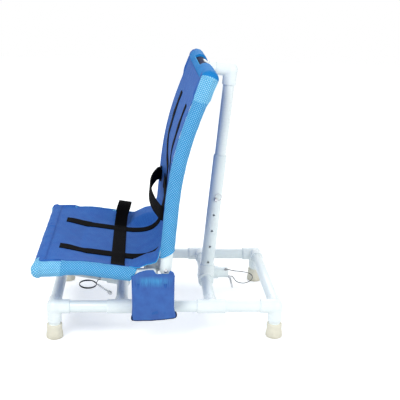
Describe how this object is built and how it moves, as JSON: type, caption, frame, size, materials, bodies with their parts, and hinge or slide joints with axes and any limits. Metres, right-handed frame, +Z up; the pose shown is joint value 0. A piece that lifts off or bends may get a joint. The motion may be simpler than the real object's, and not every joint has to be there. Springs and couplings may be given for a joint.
{
  "type": "reclining bath chair",
  "caption": "Low reclining bath chair: white plastic pipe frame with a raised seat frame, a tall back on a telescoping strut, blue mesh slings, black straps and a side pouch.",
  "frame": {"origin": "middle of the chair's footprint box on the floor, measured without the cords", "axes": "+Z up, +X from the foot end towards the head end, +Y from the user's left towards the user's right"},
  "size_m": [0.9078, 0.6962, 0.9748],
  "materials": {
    "pvc": "smooth white moulded and extruded plastic",
    "foot_rubber": "matt cream rubber",
    "steel": "plain stainless steel",
    "mesh_cloth": "open blue polyester mesh",
    "bag_cloth": "fine dark blue mesh",
    "webbing": "black woven webbing",
    "coated_wire": "plastic coated wire"
  },
  "bodies": {
    "base": {"corner_elbow_front_left": "pvc", "corner_elbow_front_right": "pvc", "corner_elbow_rear_left": "pvc", "corner_elbow_rear_right": "pvc", "rail_left": "pvc", "rail_right": "pvc", "second_tee_left": "pvc", "second_tee_right": "pvc", "mid_tee_left": "pvc", "mid_tee_right": "pvc", "cross_tube_front": "pvc", "cross_tube_second": "pvc", "cross_tube_mid": "pvc", "cross_tube_rear": "pvc", "riser_left": "pvc", "riser_right": "pvc", "hinge_elbow_left": "pvc", "hinge_elbow_right": "pvc", "stop_tee": "pvc", "foot_front_left": "foot_rubber", "foot_front_right": "foot_rubber", "foot_rear_left": "foot_rubber", "foot_rear_right": "foot_rubber", "seat_bolt_left": "steel", "seat_bolt_right": "steel", "back_bolt_left": "steel", "back_bolt_right": "steel", "pouch": "bag_cloth", "rear_lanyard": "coated_wire", "rear_pin": "steel"},
    "seat": {"seat_side_tube_left": "pvc", "seat_side_tube_right": "pvc", "seat_elbow_left": "pvc", "seat_elbow_right": "pvc", "seat_front_tube": "pvc", "seat_sling": "mesh_cloth", "seat_strap_left": "webbing", "seat_strap_right": "webbing", "lap_belt": "webbing"},
    "back": {"back_side_tube_left": "pvc", "back_side_tube_right": "pvc", "back_elbow_left": "pvc", "back_elbow_right": "pvc", "back_top_tube": "pvc", "back_sling": "mesh_cloth", "back_strap_left": "webbing", "back_strap_right": "webbing", "chest_belt": "webbing"},
    "strut_lower": {"strut_swivel_tee": "pvc", "strut_sleeve": "pvc"},
    "strut_upper": {"strut_inner_tube": "pvc", "strut_saddle": "pvc"},
    "strut_pin": {"strut_pin": "steel"},
    "leg_strut_lower": {"leg_strut_swivel_tee": "pvc", "leg_strut_sleeve": "pvc", "front_lanyard_lead": "coated_wire", "front_lanyard_coil": "coated_wire", "front_pin": "steel"},
    "leg_strut_upper": {"leg_strut_inner_tube": "pvc", "leg_strut_saddle": "pvc"}
  },
  "joints": [
    {"name": "back_recline", "type": "hinge", "parent": "base", "child": "back", "pos_m": [0.01942, 0, 0.282], "axis": [0, 1, 0], "range_deg": [0, 68]},
    {"name": "strut_swing", "type": "hinge", "parent": "base", "child": "strut_lower", "pos_m": [0.18842, 0, 0.118], "axis": [0, 1, 0], "range_deg": [0, 65.5]},
    {"name": "strut_slide", "type": "slide", "parent": "strut_lower", "child": "strut_upper", "axis": [0.0806, 0, 0.9967], "range_m": [-0.257, 0]},
    {"name": "strut_pin", "type": "slide", "parent": "strut_lower", "child": "strut_pin", "axis": [0, -1, 0], "range_m": [0, 0.055]},
    {"name": "seat_raise", "type": "hinge", "parent": "base", "child": "seat", "pos_m": [-0.03028, 0, 0.262], "axis": [0, 1, 0], "range_deg": [0, 20]},
    {"name": "leg_strut_swing", "type": "hinge", "parent": "base", "child": "leg_strut_lower", "pos_m": [-0.13458, 0, 0.118], "axis": [0, 1, 0], "range_deg": [0, 22.7]},
    {"name": "leg_strut_slide", "type": "slide", "parent": "leg_strut_lower", "child": "leg_strut_upper", "axis": [-0.9841, 0, 0.1778], "range_m": [0, 0.066]}
  ],
  "couplings": [
    {"joint": "strut_swing", "follows": "back_recline", "ratio": 0.96204},
    {"joint": "strut_slide", "follows": "back_recline", "m_per_rad": -0.21644},
    {"joint": "leg_strut_swing", "follows": "seat_raise", "ratio": 1.1322},
    {"joint": "leg_strut_slide", "follows": "seat_raise", "m_per_rad": 0.18659}
  ]
}
